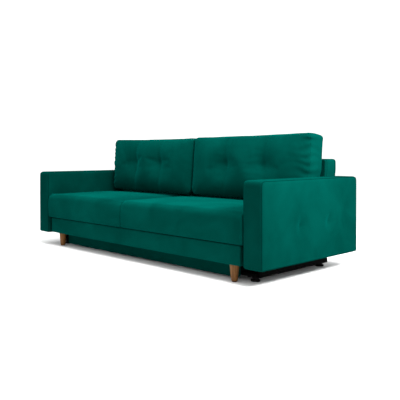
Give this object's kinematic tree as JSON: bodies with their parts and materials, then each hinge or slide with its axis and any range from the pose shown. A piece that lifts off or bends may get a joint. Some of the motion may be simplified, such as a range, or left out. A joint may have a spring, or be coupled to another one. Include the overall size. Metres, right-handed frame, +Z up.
{
  "type": "pull-out sofa bed with wooden legs",
  "caption": "Low velvet sofa with block arms, loose tufted back cushions and turned wooden front legs; the seat pulls out and the back folds flat into a bed.",
  "frame": {"origin": "on the floor, at the middle of the sofa's footprint", "axes": "+X along the sofa to the right as seen from the front, +Y towards the rear, +Z up; the front faces -Y"},
  "size_m": [2.34, 0.99, 0.8652],
  "materials": {
    "velvet": "matte",
    "pine_board": "matte",
    "beech_leg": "satin",
    "black_board": "satin",
    "black_plastic": "satin",
    "steel": "satin",
    "nylon": "satin",
    "webbing": "matte"
  },
  "bodies": {
    "base": {"left_arm_frame": "pine_board", "right_arm_frame": "pine_board", "left_arm_padding": "velvet", "right_arm_padding": "velvet", "left_side_board": "black_board", "right_side_board": "black_board", "left_foot_rail": "black_board", "right_foot_rail": "black_board", "cross_battens": "black_board", "front_left_foot": "black_plastic", "front_right_foot": "black_plastic", "rear_left_foot": "black_plastic", "rear_right_foot": "black_plastic", "arm_bolts": "steel", "left_guide_rail": "steel", "right_guide_rail": "steel", "left_pivot_plate": "steel", "right_pivot_plate": "steel", "storage_front_panel": "velvet", "storage_floor": "black_board", "storage_left_wall": "black_board", "storage_right_wall": "black_board", "storage_rear_wall": "black_board"},
    "seat": {"seat_front_board": "pine_board", "seat_rear_board": "pine_board", "seat_left_board": "pine_board", "seat_right_board": "pine_board", "seat_cross_members": "pine_board", "seat_bottom_cover": "pine_board", "seat_webbing": "webbing", "left_seat_cushion": "velvet", "right_seat_cushion": "velvet", "front_rail": "velvet", "left_leg_block": "black_board", "right_leg_block": "black_board", "left_leg": "beech_leg", "right_leg": "beech_leg", "left_leg_glide": "black_plastic", "right_leg_glide": "black_plastic", "leg_studs": "steel", "left_slider": "nylon", "right_slider": "nylon", "left_slider_bracket": "steel", "right_slider_bracket": "steel"},
    "back": {"back_board": "pine_board", "back_padding": "velvet", "back_lower_padding": "velvet", "left_hinge_bracket": "steel", "right_hinge_bracket": "steel"},
    "left_cushion": {"left_back_cushion": "velvet"},
    "right_cushion": {"right_back_cushion": "velvet"}
  },
  "joints": [
    {"name": "seat_pull", "type": "slide", "parent": "base", "child": "seat", "axis": [0, -1, 0], "range_m": [0, 0.47]},
    {"name": "back_fold", "type": "hinge", "parent": "base", "child": "back", "pos_m": [0, 0.2765, 0.4835], "axis": [-1, 0, 0], "range_deg": [0, 90]},
    {"name": "left_cushion_lift", "type": "slide", "parent": "seat", "child": "left_cushion", "axis": [0, 0, 1], "range_m": [0, 0.45]},
    {"name": "right_cushion_lift", "type": "slide", "parent": "seat", "child": "right_cushion", "axis": [0, 0, 1], "range_m": [0, 0.45]}
  ],
  "couplings": [
    {"joint": "back_fold", "follows": "seat_pull", "rad_per_m": 3.3421}
  ]
}
